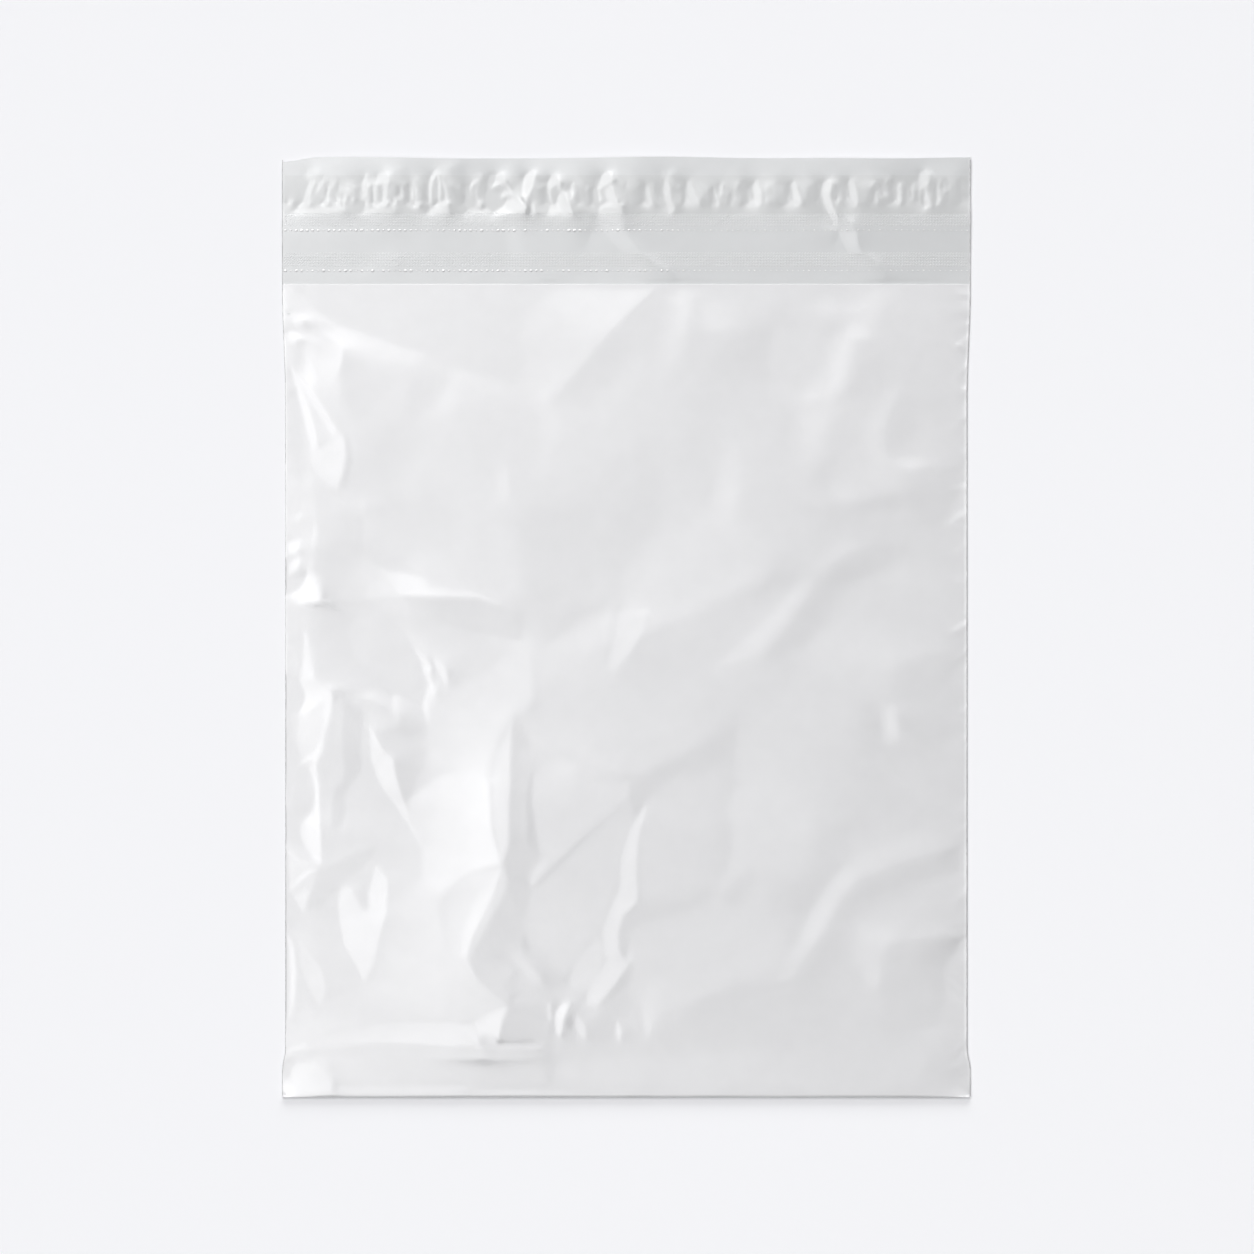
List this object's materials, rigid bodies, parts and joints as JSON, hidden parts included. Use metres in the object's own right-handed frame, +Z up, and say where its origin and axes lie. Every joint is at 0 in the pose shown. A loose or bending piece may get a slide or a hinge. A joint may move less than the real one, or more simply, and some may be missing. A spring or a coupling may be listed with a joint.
{
  "type": "poly mailer bag",
  "caption": "Empty flat film mailer with welded sides, a folded bottom, an open mouth and a lip with a lined adhesive strip.",
  "frame": {"origin": "on the surface that the bag lies on, under the middle of its bounding box", "axes": "+Z up out of the front panel, +Y along the bag towards the lip, +X to the right seen from above"},
  "size_m": [0.254, 0.3471, 0.0056],
  "materials": {
    "bag_film": "glossy white film outside, grey inside",
    "adhesive": "milky hot-melt adhesive",
    "liner": "glossy clear release film, crinkled"
  },
  "bodies": {
    "root": {"bag_film": "bag_film", "adhesive_strip": "adhesive", "release_liner": "liner"}
  },
  "joints": []
}
